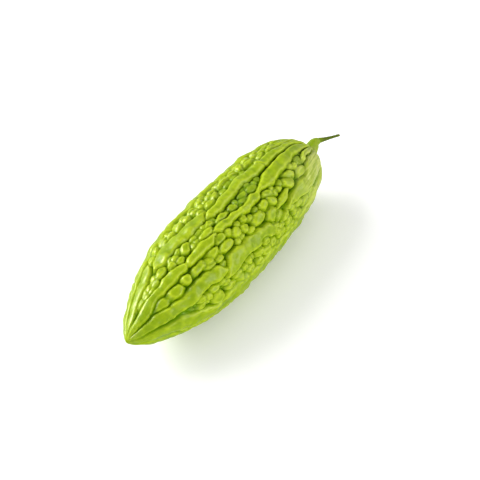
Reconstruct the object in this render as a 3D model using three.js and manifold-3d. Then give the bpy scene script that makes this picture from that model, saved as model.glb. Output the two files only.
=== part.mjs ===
// A bitter melon, picked and lying on a flat surface: the ridged and warty fruit, which narrows to a
// fleshy neck, and the cut end of its stalk.
// Units are millimetres and +Z is up. X runs from the blossom tip (0) towards the stalk. Angles are
// degrees round that axis, from +Y (0) over the top (90) and down the far side; 270 is underneath.
import * as THREE from "three";
import { mergeVertices } from "three/addons/utils/BufferGeometryUtils.js";
import Module from "manifold-3d";

// ---------------------------------------------------------------- driving dimensions
const GIRTH_RADIUS = 30.2; // over the ridge tops, at the thickest place
const RIDGE_HEIGHT = 3.8; // ridge tops above the deepest crevices, at the thickest place
const VALLEY_HEIGHT = 0.8; // valley floors above the deepest crevices
const WART_BASE_HEIGHT = 1.7; // a wart's height is this, and so much more for each mm of half width:
const WART_STEEPNESS = 0.8;
const HIGHEST_WART = 3.6;
const NECK_END = 198.6; // where the fleshy neck meets the stalk
const REST_TRIM = 1; // how far the weight of the fruit flattens the ridges that it lies on
const STALK_GAP = 0.35; // along X, between the neck and the stalk
const STALK_END = 212.4;
const STALK_ROOT_RADIUS = 1.8;
const STALK_CUT_RADIUS = 0.8;

const COLUMNS_PER_RIDGE = 7; // grid columns from one ridge to the next
const RINGS = 88;
const CELL_REACH = 0.3; // share of a cell, to each side, over which the relief is averaged
const STALK_SIDES = 12;
const STALK_ROWS = 9;
const SMALLEST_WART = 1.8; // half width; smaller ones are finer than the grid

// Shape of the lumps and of the neck
const CREST_SQUARENESS = 2.6; // a crest's top falls by the share across it to this power
const WART_SQUARENESS = 2.2;
const FULL_CREST = 6; // half width in degrees below which a crest gets lower
const NARROWEST_CREST = 0.3;
const RELIEF_FADE = 0.8; // power of the share of the girth by which the relief gets shallower
const SWAY = 0.5; // how far the edges of the lumps wander, in waves of these lengths:
const SWAY_ALONG = 12;
const SWAY_ROUND = 10;
const NECK_START = 185; // sections are upright before it
const NECK_SQUARE = 196; // and square to the middle line from here
const STALK_TAPER = 2.5; // power by which the stalk gets thinner, fast at first

// [x, radius over the ridge tops]
const OUTLINE = [
  [0, 0], [2, 3.4], [6, 7.2], [13, 11.7], [25, 17.5], [40, 23.4], [58, 27.8], [78, 30],
  [98, GIRTH_RADIUS], [118, 29.6], [138, 28.4], [154, 26.4], [167, 23], [176, 18.8], [181, 14.8],
  [184.5, 10], [186.8, 6.5], [189, 5], [193, 4.1], [196.5, 3], [NECK_END, 2.2],
];

// [x, y, z] of the middle line: the fruit sags a little and its neck lifts and turns aside
const SPINE = [
  [0, -1.8, -0.2], [10, -1.4, -0.7], [30, -0.7, -1.3], [60, 0, -1.7], [98, 0.4, -2.1], [130, 0.6, -1.8],
  [160, 0.5, -1], [170, 0.4, -0.6], [178, -0.4, -0.5], [184, -1.5, -0.4], [188, -1.8, 0.6],
  [192, -1.3, 1.8], [195.6, -1, 2.8], [NECK_END, -2.2, 3.1], [202.8, -4.7, 2.8], [207.9, -7.2, 2.1],
  [STALK_END, -9.4, 1.5],
];

// The ten ridges, in order round the fruit. A crest is [x, angle, half width in degrees]; a ridge that
// is broken has several crests and a guide line, [x, angle], that runs through them.
const RIDGES = [
  // on the far side
  {
    crests: [
      [
        [0, 358, 18], [10, 358, 18], [24, 359, 15], [40, 361, 10.5], [56, 358, 9], [72, 361, 10.5],
        [90, 358.5, 8.5], [108, 361, 10], [126, 358, 9.5], [144, 360, 11], [160, 360, 14], [180, 358, 18],
        [198, 358, 18],
      ],
    ],
  },
  {
    crests: [
      [
        [0, 33, 16], [10, 33, 16], [22, 33, 13], [34, 34, 10], [50, 35, 8.5], [66, 37, 9.5], [80, 35.5, 8],
        [92, 38, 9], [108, 37, 8.5], [122, 36, 9.5], [137, 39, 8.5], [150, 40, 10], [163, 43, 12],
        [180, 46, 16], [198, 46, 18],
      ],
    ],
  },
  // the first to the left of the top, in five lobes
  {
    guide: [
      [0, 66], [14, 63], [28, 61], [42, 69], [60, 73], [79, 79], [92, 85], [112, 82.5], [126, 81.5],
      [140, 84], [160, 84], [198, 86],
    ],
    crests: [
      [
        [0, 66, 17], [8, 66, 17], [14, 63, 15], [20, 60, 12.5], [28, 59.5, 12], [34, 57.5, 10],
        [38, 55.5, 6], [40.5, 54, 1.5],
      ],
      [
        [39.5, 69, 3], [42, 69, 10.5], [45, 69.5, 12], [50, 67.5, 12], [56, 70, 11.2], [60, 72.5, 10.5],
        [66, 76.5, 9.5], [73, 77.7, 8.7], [79, 78, 8], [83, 77.5, 6.5], [86, 76, 2],
      ],
      [
        [83.5, 86, 2], [86, 85, 6], [90, 85.5, 6.3], [100, 84.2, 7], [110, 82.3, 7], [116, 80.2, 7.5],
        [121, 80.2, 8.5], [126, 81.5, 9], [130, 82.8, 9], [134, 84.5, 7], [137, 86, 4.5], [139, 87.5, 1],
      ],
      [
        [136.5, 79, 2], [138.5, 81, 4], [141, 84.3, 7.2], [146, 84, 7.8], [151, 83, 8], [156, 84.5, 6.8],
        [163, 86, 6.2], [170, 86.5, 5.7], [176, 88, 5.5], [182, 89, 7], [188, 88, 12], [198, 88, 16],
      ],
      [
        [153, 73.5, 2], [155.5, 74, 4.2], [161, 73.5, 5], [168, 75, 5.3], [176, 76, 5.8], [186, 72, 12],
        [198, 70, 16],
      ],
    ],
  },
  // along the top, in three lobes
  {
    guide: [
      [0, 98], [25, 98], [42, 102], [54, 106.5], [72, 107.5], [90, 107.5], [104, 111], [120, 108],
      [135, 105], [160, 101], [180, 104], [198, 106],
    ],
    crests: [
      [
        [0, 98, 16], [6, 98.5, 15.5], [10, 100, 15], [15, 101, 17], [20, 98, 13], [25, 98, 10.5],
        [30, 100, 9.3], [36, 100.5, 9.8], [42, 102, 9.3], [47, 104.5, 6], [50, 105.5, 2],
      ],
      [[50.5, 107, 3], [52.5, 107, 5.7], [60, 107, 8], [68, 107.5, 7], [73, 108, 4.3], [75.5, 108, 1.5]],
      [
        [76, 104, 2], [79, 105.5, 5.2], [84, 105.8, 5.6], [88, 107, 5.5], [92, 108.2, 5], [96, 108.3, 4.5],
        [100, 110.7, 5.4], [104, 111.5, 5.8], [108, 110.6, 5.6], [113, 110.3, 5.6], [117, 109.3, 4.6],
        [120, 107.5, 3.9], [123, 106.7, 4.4], [125.5, 106.8, 5.8], [128, 107.3, 8.7], [131, 106.5, 10.3],
        [135, 105, 10.5], [140, 103.5, 10.8], [146, 102.6, 10.4], [152, 102.3, 10.2], [158, 101, 9.5],
        [164, 100.6, 8.6], [170, 101, 7.6], [176, 102.5, 6], [182, 105, 7], [190, 106, 12], [198, 106, 14],
      ],
    ],
  },
  // of the near side, in three lobes; the first two are lobes of the valley above it
  {
    guide: [
      [0, 138], [20, 140], [38, 144], [52, 141], [66, 147], [80, 146], [92, 146.5], [108, 151], [120, 150],
      [145, 149], [160, 148], [180, 141], [198, 142],
    ],
    crests: [
      [
        [121.5, 141, 3], [123.5, 140, 4.6], [127, 137.8, 4.8], [131, 136.8, 4.4], [134.5, 135.2, 2.8],
        [137, 134.2, 1.2],
      ],
      [
        [161.5, 121, 2], [164, 120.5, 4.5], [168, 118.5, 5.5], [173, 117, 5.5], [178, 115.5, 4],
        [184, 118, 6], [198, 120, 9],
      ],
      [
        [0, 138, 18.5], [6, 138, 18.5], [10, 138.2, 18], [20, 140, 15.5], [30, 143.5, 12.8],
        [38, 144.5, 11.8], [45, 141.5, 10.3], [52, 140.5, 10.5], [58, 142, 10.5], [63, 142.5, 8],
        [66.5, 146, 2.5],
      ],
      [
        [63.5, 155, 1.5], [67, 152, 5.5], [71, 149, 11], [76, 146, 12], [80, 145.5, 11.5], [84, 145.5, 9.5],
        [88, 145.3, 10.2], [92, 146.5, 10.2], [96, 147.8, 9.8], [99, 146.5, 8.8], [102, 147, 10],
        [105, 149.5, 11.5], [108, 152.5, 12], [110.5, 153, 9.5], [113, 152, 3.5],
      ],
      [
        [127, 151, 1.5], [129.5, 150.5, 4], [132.5, 148.8, 5.5], [136, 148.3, 6.5], [140, 147.5, 8.5],
        [145, 148.8, 10], [150, 149, 13], [155, 151, 13], [160, 148, 16], [165, 145, 18],
        [172, 143.5, 19.5], [180, 141, 20], [190, 141, 24], [198, 142, 24],
      ],
    ],
  },
  // low on the near side, underneath and behind
  {
    crests: [
      [
        [0, 176, 19], [10, 176, 19], [20, 178, 17], [30, 180, 16], [42, 187, 13], [54, 193, 13],
        [64, 190, 17], [76, 189, 19], [85, 191, 16], [94, 193, 13.5], [106, 190, 17], [116, 191.5, 14],
        [130, 189.5, 14], [145, 189, 13], [158, 188, 14], [170, 188, 16], [182, 186, 19], [198, 186, 20],
      ],
    ],
  },
  {
    crests: [
      [
        [0, 213, 18], [10, 213, 18], [26, 217, 13.5], [45, 223, 9.5], [62, 221.5, 10.5], [75, 223.5, 8.5],
        [90, 221, 10], [108, 223, 9], [126, 220.5, 10.5], [145, 222.5, 10], [160, 221, 13], [180, 222, 16],
        [198, 222, 16],
      ],
    ],
  },
  {
    crests: [
      [
        [0, 249.5, 18], [10, 249.5, 18], [26, 251.5, 13.5], [42, 252.5, 10], [60, 255, 11], [78, 253, 9.5],
        [95, 255.5, 10.5], [112, 253, 9.5], [130, 255.5, 10.5], [148, 254, 11], [162, 253, 14],
        [180, 254, 16], [198, 254, 16],
      ],
    ],
  },
  {
    crests: [
      [
        [0, 286, 18], [10, 286, 18], [26, 287.5, 13.5], [42, 290, 10], [58, 287.5, 9.5], [76, 290, 10.5],
        [94, 288, 9.5], [113, 290.5, 11], [132, 288, 10], [150, 289, 12], [164, 288, 15], [180, 288, 18],
        [198, 288, 18],
      ],
    ],
  },
  {
    crests: [
      [
        [0, 322, 18], [10, 322, 18], [26, 324, 13.5], [44, 327, 10], [60, 324.5, 9], [80, 327, 10.5],
        [98, 325, 8.5], [116, 328, 10.5], [134, 325, 9.5], [152, 326, 12], [165, 324, 15], [180, 322, 17],
        [198, 322, 17],
      ],
    ],
  },
];

// Warts of the upper valleys, one by one: [x, angle, half length along X, half width, turn in degrees]
const PLACED_WARTS = [
  // between the top ridge and the near ridge
  [25, 118, 3.8, 2.6], [34.5, 121.5, 5, 3.6], [43.5, 119.5, 2.8, 3], [54, 120.5, 4.8, 2.6],
  [61, 123.5, 2.5, 2.5], [65, 120, 4.5, 2.4], [67, 130.5, 2.2, 2.2], [75, 126, 4.8, 2.7],
  [76, 114.5, 3.2, 1.8], [82.5, 117, 2.6, 2.4], [86.5, 123.5, 3.8, 3.3], [93, 126.5, 2.8, 2.6],
  [95.5, 134, 2.8, 2.2], [105.4, 131, 6.2, 4.1], [114.3, 125, 3.5, 3.2], [115.5, 140.5, 5.5, 4.4, -40],
  [121, 129, 3.9, 3.6], [123, 119.5, 3.3, 2, 39], [128.5, 124.5, 2, 1.8], [132, 124, 2, 1.8],
  [120.5, 149, 4, 3], [123.5, 155.5, 3.4, 3], [141, 127.5, 4, 3.5, 39], [145, 121.5, 4.1, 2.8, 39],
  [151.5, 114.5, 2.2, 2.2], [154, 119, 2.5, 2.3], [155.3, 131.5, 4.5, 3.2], [160.5, 116.5, 3, 2.2],
  // below the near ridge
  [25, 167, 3, 2.2], [48.8, 160.5, 2.4, 2.2], [54, 157.5, 2.4, 1.8], [54.5, 172, 3.8, 3.8],
  [66, 171, 4, 2.6], [74, 173, 3.4, 2.2], [78.5, 165, 2.6, 2.2], [82.5, 172.5, 3.4, 2.2],
  [83.5, 161, 2.6, 2.2], [93.5, 163.5, 3, 2.2], [92, 175, 2.8, 2], [100, 170, 4, 2.6],
  [102, 158.5, 3.2, 2.4], [107.5, 171, 3, 2], [113.5, 163, 2.2, 2.2], [109, 177, 4, 1.8],
  [116.5, 170.5, 3.4, 2.2], [126, 167, 3.4, 2.4], [126, 175, 4, 1.8], [133, 155.5, 2.6, 1.8],
  [134, 163.5, 2.6, 2], [136, 172.5, 3.6, 2.2], [147, 167.5, 4, 2.4], [156, 171, 4, 2],
];

// Valleys of the hidden side, whose warts are strewn by dice: middle angle, half width in mm, seed
const STREWN_VALLEYS = [
  { middle: 17, room: 3.2, seed: 5 },
  { middle: 207, room: 2.6, seed: 11 },
  { middle: 238, room: 3.2, seed: 23 },
  { middle: 271.5, room: 3.4, seed: 31 },
  { middle: 306.5, room: 3.3, seed: 47 },
  { middle: 342, room: 3.3, seed: 61 },
];
const STREWN_FROM = 28;
const STREWN_TO = 160;
const STREWN_RADIUS = 27; // of the skin there, taken as even
const STREWN_HALF_LENGTH = [2.4, 5.2];
const STREWN_WIDTH_SHARE = [0.62, 0.95]; // of the valley's width
const STREWN_OVERLAP = 0.93; // each wart starts where this share of the one before ends
const STREWN_SMALL = [1.4, 2.2]; // half length of the small warts beside them
const STREWN_SMALL_ROOM = 0.9; // spare half width from which a small wart finds room

const radians = THREE.MathUtils.degToRad;

// ---------------------------------------------------------------- smooth lines and numbers
// Values at one place on a smooth curve through knots [place, value, value, ...].
function follow(knots, place) {
  const last = knots.length - 1;
  const at = THREE.MathUtils.clamp(place, knots[0][0], knots[last][0]);
  let start = 0;
  while (start < last - 1 && knots[start + 1][0] <= at) {
    start += 1;
  }
  const span = knots[start + 1][0] - knots[start][0];
  const t = (at - knots[start][0]) / span;
  return knots[start].slice(1).map((value, column) => {
    const next = knots[start + 1][column + 1];
    const leaving = slope(knots, start, column + 1) * span;
    const arriving = slope(knots, start + 1, column + 1) * span;
    const bend = t * (1 - t) * ((1 - t) * leaving - t * arriving);
    return value + t * t * (3 - 2 * t) * (next - value) + bend;
  });
}

// Slope of a knot column at one knot, from its neighbours, weighted by how near they are.
function slope(knots, index, column) {
  const before = Math.max(index - 1, 0);
  const after = Math.min(index + 1, knots.length - 1);
  const rise = (from, to) => (knots[to][column] - knots[from][column]) / (knots[to][0] - knots[from][0]);
  if (before === index) {
    return rise(index, after);
  }
  if (after === index) {
    return rise(before, index);
  }
  const near = knots[index][0] - knots[before][0];
  const far = knots[after][0] - knots[index][0];
  return (rise(before, index) * far + rise(index, after) * near) / (near + far);
}

// Numbers that look random and are the same on every run.
function dice(seed) {
  let state = seed;
  return (low, high) => {
    state = (1664525 * state + 1013904223) % 2 ** 32;
    return low + ((high - low) * state) / 2 ** 32;
  };
}

// Gentle unevenness from -1 to 1: a few sine waves that cross each other in all directions.
function waves(x, y, z, wavelength, seed) {
  const count = 7;
  const goldenAngle = 2.39996;
  let sum = 0;
  for (let k = 0; k < count; k += 1) {
    const rise = 1 - (2 * (k + 0.5)) / count;
    const flat = Math.sqrt(1 - rise * rise);
    const turn = goldenAngle * k + seed;
    const along = x * rise + y * flat * Math.cos(turn) + z * flat * Math.sin(turn);
    sum += Math.sin(along * ((2 * Math.PI) / wavelength) * (1 + 0.13 * k) + seed * 1.7 + k * k);
  }
  return (1.6 * sum) / count;
}

// ---------------------------------------------------------------- the shape of the skin
// Radius over the ridge tops. The outline is read over the root of x, which rounds the tip.
const OUTLINE_BY_ROOT = OUTLINE.map(([x, radius]) => [Math.sqrt(x), radius]);

function envelopeRadius(x) {
  return follow(OUTLINE_BY_ROOT, Math.sqrt(Math.max(x, 0)))[0];
}

// How deep the relief is here, from 0 to 1: shallower where the fruit is thinner.
function reliefDepth(radius) {
  return Math.min(1, radius / GIRTH_RADIUS) ** RELIEF_FADE;
}

// Turns in degrees from one angle to another, the short way round.
function turnBetween(from, to) {
  return THREE.MathUtils.euclideanModulo(to - from + 180, 360) - 180;
}

// Warts of one hidden valley: a winding row of large ones, with a small one in the room beside some.
function strewWarts({ middle, room, seed }) {
  const roll = dice(seed);
  const toDegrees = (arc) => THREE.MathUtils.radToDeg(arc / STREWN_RADIUS);
  const warts = [];
  let x = STREWN_FROM;
  while (x < STREWN_TO) {
    const halfLength = roll(...STREWN_HALF_LENGTH);
    const halfWidth = room * roll(...STREWN_WIDTH_SHARE);
    const side = roll(0, 1) > 0.5 ? 1 : -1;
    const spare = room - halfWidth;
    const shift = side * spare * roll(0.4, 1);
    warts.push([x + halfLength, middle + toDegrees(shift), halfLength, halfWidth, roll(-12, 12)]);
    if (spare > STREWN_SMALL_ROOM) {
      const small = roll(...STREWN_SMALL);
      const place = x + halfLength * roll(0.3, 1.7);
      warts.push([place, middle - toDegrees(side * (room - small * 0.7)), small, small * 0.8, 0]);
    }
    x += 2 * halfLength * STREWN_OVERLAP;
  }
  return warts;
}

const WARTS = [...PLACED_WARTS, ...STREWN_VALLEYS.flatMap(strewWarts)].filter(
  ([, , halfLength, halfWidth]) => Math.min(halfLength, halfWidth) >= SMALLEST_WART,
);

// Height of one crest above the valley floor: a rounded bar that fades where it gets narrow.
function crestHeight(crest, x, angle) {
  if (x < crest[0][0] || x > crest[crest.length - 1][0]) {
    return 0;
  }
  const [middle, width] = follow(crest, x);
  const halfWidth = Math.max(width, NARROWEST_CREST);
  const across = Math.min(1, Math.abs(turnBetween(middle, angle)) / halfWidth);
  const fade = Math.min(1, halfWidth / FULL_CREST);
  const top = (RIDGE_HEIGHT - VALLEY_HEIGHT) * Math.sqrt(1 - (1 - fade) ** 2);
  return top * (1 - across ** CREST_SQUARENESS);
}

// Height of one wart above the valley floor: a dome on an ellipse.
function wartHeight([middle, middleAngle, halfLength, halfWidth, turn = 0], x, angle) {
  const along = x - middle;
  if (Math.abs(along) > halfLength + halfWidth) {
    return 0;
  }
  const across = radians(turnBetween(middleAngle, angle)) * envelopeRadius(middle);
  const cos = Math.cos(radians(turn));
  const sin = Math.sin(radians(turn));
  const out = Math.hypot((along * cos + across * sin) / halfLength, (across * cos - along * sin) / halfWidth);
  const size = Math.min(halfLength, halfWidth);
  const top = Math.min(HIGHEST_WART, WART_BASE_HEIGHT + WART_STEEPNESS * size) - VALLEY_HEIGHT;
  return top * (1 - Math.min(1, out) ** WART_SQUARENESS);
}

// Height of the skin above the deepest crevices. Waves bend the grid of x and angle, so no edge is
// straight.
function relief(x, angle) {
  const radius = Math.max(envelopeRadius(x), 0.4);
  const y = radius * Math.cos(radians(angle));
  const z = radius * Math.sin(radians(angle));
  const sway = THREE.MathUtils.clamp(x / 30, 0.25, 1) * THREE.MathUtils.clamp((NECK_END - x) / 30, 0.2, 1);
  const bentX = x + SWAY * sway * waves(x, y, z, SWAY_ALONG, 1);
  const bentAngle = angle + THREE.MathUtils.radToDeg((SWAY * sway * waves(x, y, z, SWAY_ROUND, 4)) / radius);
  const crests = RIDGES.flatMap((ridge) => ridge.crests);
  const highestCrest = Math.max(...crests.map((crest) => crestHeight(crest, bentX, bentAngle)));
  const highestWart = Math.max(...WARTS.map((wart) => wartHeight(wart, bentX, bentAngle)));
  return reliefDepth(radius) * (VALLEY_HEIGHT + Math.max(highestCrest, highestWart));
}

// The middle line's point, and the two directions that span the section there. Sections are upright
// along the body and turn square to the middle line in the neck.
function section(x) {
  const point = (place) => new THREE.Vector3(place, ...follow(SPINE, place));
  const heading = point(x + 0.5).sub(point(x - 0.5)).normalize();
  const lean = THREE.MathUtils.smoothstep(x, NECK_START, NECK_SQUARE);
  const normal = new THREE.Vector3(1, 0, 0).lerp(heading, lean).normalize();
  const side = new THREE.Vector3(0, 1, 0).projectOnPlane(normal).normalize();
  const up = new THREE.Vector3().crossVectors(normal, side);
  return { middle: point(x), side, up };
}

function pointOnSection({ middle, side, up }, angle, radius) {
  return middle
    .clone()
    .addScaledVector(side, radius * Math.cos(radians(angle)))
    .addScaledVector(up, radius * Math.sin(radians(angle)));
}

// ---------------------------------------------------------------- meshes
// Ring places from the tip to the neck's end, equally far apart along the outline.
function ringPlaces(count) {
  const samples = 800;
  const xs = Array.from({ length: samples + 1 }, (_, k) => NECK_END * (k / samples) ** 2);
  const walked = [0];
  for (let k = 1; k <= samples; k += 1) {
    const step = Math.hypot(xs[k] - xs[k - 1], envelopeRadius(xs[k]) - envelopeRadius(xs[k - 1]));
    walked.push(walked[k - 1] + step);
  }
  const places = [];
  for (let ring = 0, k = 0; ring < count; ring += 1) {
    const target = (walked[samples] * ring) / (count - 1);
    while (k < samples && walked[k] < target) {
      k += 1;
    }
    places.push(xs[k]);
  }
  return places;
}

// Angle of a grid column, which runs along the ridges: a whole number is a ridge, the rest lie between.
function columnAngle(position, x) {
  const ridge = Math.floor(position) % RIDGES.length;
  const next = (ridge + 1) % RIDGES.length;
  const guide = (index) => follow(RIDGES[index].guide ?? RIDGES[index].crests[0], x)[0];
  return guide(ridge) + (position % 1) * THREE.MathUtils.euclideanModulo(guide(next) - guide(ridge), 360);
}

// Relief round a grid point, averaged over a part of its cell, so that no wart falls between points.
function cellRelief(x, angle, ringGap, columnGap) {
  const offsets = [[0, 0], [-1, -1], [-1, 1], [1, -1], [1, 1]];
  const heights = offsets.map(([along, round]) =>
    relief(x + along * CELL_REACH * ringGap, angle + round * CELL_REACH * columnGap),
  );
  return heights.reduce((sum, height) => sum + height) / offsets.length;
}

// A closed geometry of positions alone, with its vertices merged.
function bare(geometry) {
  geometry.deleteAttribute("normal");
  geometry.deleteAttribute("uv");
  return mergeVertices(geometry);
}

// The fruit: a sphere whose rings are laid along the middle line, and whose last ring is the neck's end.
function fruitGeometry() {
  const columns = COLUMNS_PER_RIDGE * RIDGES.length;
  const geometry = new THREE.SphereGeometry(1, columns, RINGS);
  const places = ringPlaces(RINGS);
  const uv = geometry.attributes.uv;
  for (let index = 0; index < uv.count; index += 1) {
    const ring = Math.round(uv.getY(index) * RINGS);
    const column = Math.round(uv.getX(index) * columns) % columns;
    const x = places[Math.min(ring, RINGS - 1)];
    const here = section(x);
    let point = here.middle;
    if (ring > 0 && ring < RINGS) {
      const angle = columnAngle(column / COLUMNS_PER_RIDGE, x);
      const ringGap = x - places[ring - 1];
      const height = cellRelief(x, angle, ringGap, 360 / columns);
      const envelope = envelopeRadius(x);
      point = pointOnSection(here, angle, envelope - RIDGE_HEIGHT * reliefDepth(envelope) + height);
    }
    geometry.attributes.position.setXYZ(index, point.x, point.y, point.z);
  }
  return bare(geometry);
}

// The stalk: a cylinder bent along the rest of the middle line, thinner towards its cut end.
function stalkGeometry() {
  const geometry = new THREE.CylinderGeometry(1, 1, 1, STALK_SIDES, STALK_ROWS);
  const position = geometry.attributes.position;
  for (let index = 0; index < position.count; index += 1) {
    const along = position.getY(index) + 0.5;
    const out = Math.hypot(position.getX(index), position.getZ(index));
    const angle = THREE.MathUtils.radToDeg(Math.atan2(position.getX(index), position.getZ(index)));
    const left = Math.max(0, 1 - along) ** STALK_TAPER;
    const radius = out * THREE.MathUtils.lerp(STALK_CUT_RADIUS, STALK_ROOT_RADIUS, left);
    const x = THREE.MathUtils.lerp(NECK_END + STALK_GAP, STALK_END, along);
    const point = pointOnSection(section(x), angle, radius);
    position.setXYZ(index, point.x, point.y, point.z);
  }
  return bare(geometry);
}

// ---------------------------------------------------------------- cutting the resting face
const wasm = await Module();
wasm.setup();

function toSolid(geometry) {
  return new wasm.Manifold(
    new wasm.Mesh({
      numProp: 3,
      vertProperties: new Float32Array(geometry.attributes.position.array),
      triVerts: new Uint32Array(geometry.index.array),
    }),
  );
}

function toGeometry(solid) {
  const mesh = solid.getMesh();
  const geometry = new THREE.BufferGeometry();
  geometry.setAttribute("position", new THREE.BufferAttribute(mesh.vertProperties, 3));
  geometry.setIndex(new THREE.BufferAttribute(mesh.triVerts, 1));
  return geometry;
}

// Flattens the underside where the fruit lies on its two lowest ridges.
function flattenUnderside(geometry) {
  geometry.computeBoundingBox();
  const box = geometry.boundingBox;
  const depth = 10;
  const below = new THREE.BoxGeometry(2 * box.max.x, 4 * GIRTH_RADIUS, depth);
  below.translate(box.max.x / 2, 0, box.min.z + REST_TRIM - depth / 2);
  return toGeometry(toSolid(geometry).subtract(toSolid(bare(below))));
}

// ---------------------------------------------------------------- materials and assembly
function skinMaterial() {
  return new THREE.MeshStandardMaterial({ color: "#9bad23", roughness: 0.4, metalness: 0 });
}

function stalkMaterial() {
  return new THREE.MeshStandardMaterial({ color: "#83944b", roughness: 0.6, metalness: 0 });
}

function named(name, geometry, material) {
  geometry.computeVertexNormals();
  const mesh = new THREE.Mesh(geometry, material);
  mesh.name = name;
  return mesh;
}

const melon = new THREE.Group();
melon.add(named("fruit", flattenUnderside(fruitGeometry()), skinMaterial()));
melon.add(named("stem", stalkGeometry(), stalkMaterial()));

// The origin is under the middle of the whole, on the surface that it lies on.
const bounds = new THREE.Box3().setFromObject(melon);
const centre = bounds.getCenter(new THREE.Vector3());
melon.position.set(-centre.x, -centre.y, -bounds.min.z);

export default melon;
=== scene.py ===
"""A bitter melon, picked and lying on a pale surface, under soft studio light.

The fruit is one skin laid along a gently bent middle line. Places on it are given in millimetres and
degrees in the fruit's own axes: x runs from the blossom tip towards the stalk, and angles turn about x,
from the far side (0) over the top (90) to the near side (180), with 270 underneath. Meshes are in metres.
"""

import logging
import math
from dataclasses import dataclass
from enum import Enum
from typing import ClassVar, Optional, Union

import bpy
import numpy as np
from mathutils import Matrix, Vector


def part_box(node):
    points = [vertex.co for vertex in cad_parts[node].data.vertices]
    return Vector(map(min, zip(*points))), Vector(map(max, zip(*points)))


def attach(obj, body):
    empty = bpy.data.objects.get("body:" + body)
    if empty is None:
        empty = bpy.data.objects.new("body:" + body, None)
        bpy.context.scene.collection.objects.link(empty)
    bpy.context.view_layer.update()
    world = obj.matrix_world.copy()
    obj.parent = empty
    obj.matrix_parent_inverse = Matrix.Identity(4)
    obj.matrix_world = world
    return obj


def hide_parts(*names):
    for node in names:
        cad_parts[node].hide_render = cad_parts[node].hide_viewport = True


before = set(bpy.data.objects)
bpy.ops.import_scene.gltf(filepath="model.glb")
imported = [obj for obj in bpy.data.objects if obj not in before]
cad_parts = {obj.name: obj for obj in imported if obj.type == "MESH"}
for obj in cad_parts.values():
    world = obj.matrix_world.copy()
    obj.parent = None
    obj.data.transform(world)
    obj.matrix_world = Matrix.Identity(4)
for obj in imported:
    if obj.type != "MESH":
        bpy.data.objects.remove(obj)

logging.basicConfig(level=logging.INFO, format="%(name)s: %(message)s")
log = logging.getLogger("melon")

Array = np.ndarray
Colour = tuple[float, float, float]
Knots = tuple[tuple[float, ...], ...]
Range = tuple[float, float]

MM = 0.001


# ------------------------------------------------------------------ smooth lines and numbers
def follow(knots: Knots, places: Array) -> Array:
    """Reads a smooth curve through knots.

    Between two knots the curve is the cubic that has their values and their slopes. A slope is the mean
    of the rises to both neighbours, weighted by how near they are.

    Args:
        knots: rows of (place, value, value, ...), in rising order of place.
        places: where to read the curve; places past either end read that end.

    Returns:
        The values, with one more axis than places.
    """
    table = np.array(knots, dtype=float)
    at, values = table[:, 0], table[:, 1:]
    slopes = np.gradient(values, at, axis=0)
    inside = np.clip(places, at[0], at[-1])
    start = np.clip(np.searchsorted(at, inside) - 1, 0, len(at) - 2)
    span = (at[start + 1] - at[start])[..., None]
    t = (inside - at[start])[..., None] / span
    bend = t * (1 - t) * ((1 - t) * slopes[start] - t * slopes[start + 1]) * span
    return values[start] + t * t * (3 - 2 * t) * (values[start + 1] - values[start]) + bend


def smooth_step(values: Array, low: float, high: float) -> Array:
    """Rises smoothly from 0 at low to 1 at high: 3 t squared minus 2 t cubed, of the share t between."""
    t = np.clip((values - low) / (high - low), 0, 1)
    return t * t * (3 - 2 * t)


def quarter_circle(share: Array) -> Array:
    """Rises from 0 to 1 like a quarter circle, steep at first and level at the end."""
    return np.sqrt(1 - (1 - share) ** 2)


def waves(points: Array, wavelength: float, seed: float) -> Array:
    """Gentle unevenness from about -1 to 1: a few sine waves that cross each other in all directions.

    Args:
        points: places in mm, with x, y and z on the last axis.
        wavelength: of the longest wave, in mm.
        seed: moves and turns the waves.

    Returns:
        One number for each point.
    """
    count = 7
    golden_angle = 2.39996
    shortening = 0.13
    seed_shift = 1.7
    gain = 1.6
    total = np.zeros(points.shape[:-1])
    for k in range(count):
        rise = 1 - 2 * (k + 0.5) / count
        flat = math.sqrt(1 - rise * rise)
        turn = golden_angle * k + seed
        heading = np.array([rise, flat * math.cos(turn), flat * math.sin(turn)])
        phase = points @ heading * (2 * math.pi / wavelength) * (1 + shortening * k)
        total += np.sin(phase + seed * seed_shift + k * k)
    return gain * total / count


def unevenness(points: Array, parts: Knots) -> Array:
    """Sum of waves, each given by its (height, wavelength, seed)."""
    return sum(height * waves(points, wavelength, seed) for height, wavelength, seed in parts)


def turn_between(start: Array, end: Array) -> Array:
    """Degrees from one angle to another, the short way round."""
    return (end - start + 180) % 360 - 180


class Dice:
    """Numbers that look random and are the same on every run."""

    def __init__(self, seed: int) -> None:
        """Starts the series that belongs to a seed."""
        self.state = seed

    def roll(self, low: float, high: float) -> float:
        """The next number of the series, between low and high."""
        self.state = (1664525 * self.state + 1013904223) % 2**32
        return low + (high - low) * self.state / 2**32


# ------------------------------------------------------------------ the fruit's own shape
@dataclass(frozen=True)
class Wart:
    """A dome on an ellipse: its middle, half length and half width in mm, turn in degrees, and lift."""

    x: float
    angle: float
    half_length: float
    half_width: float
    turn: float = 0.0
    lift: float = 1.0


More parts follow.
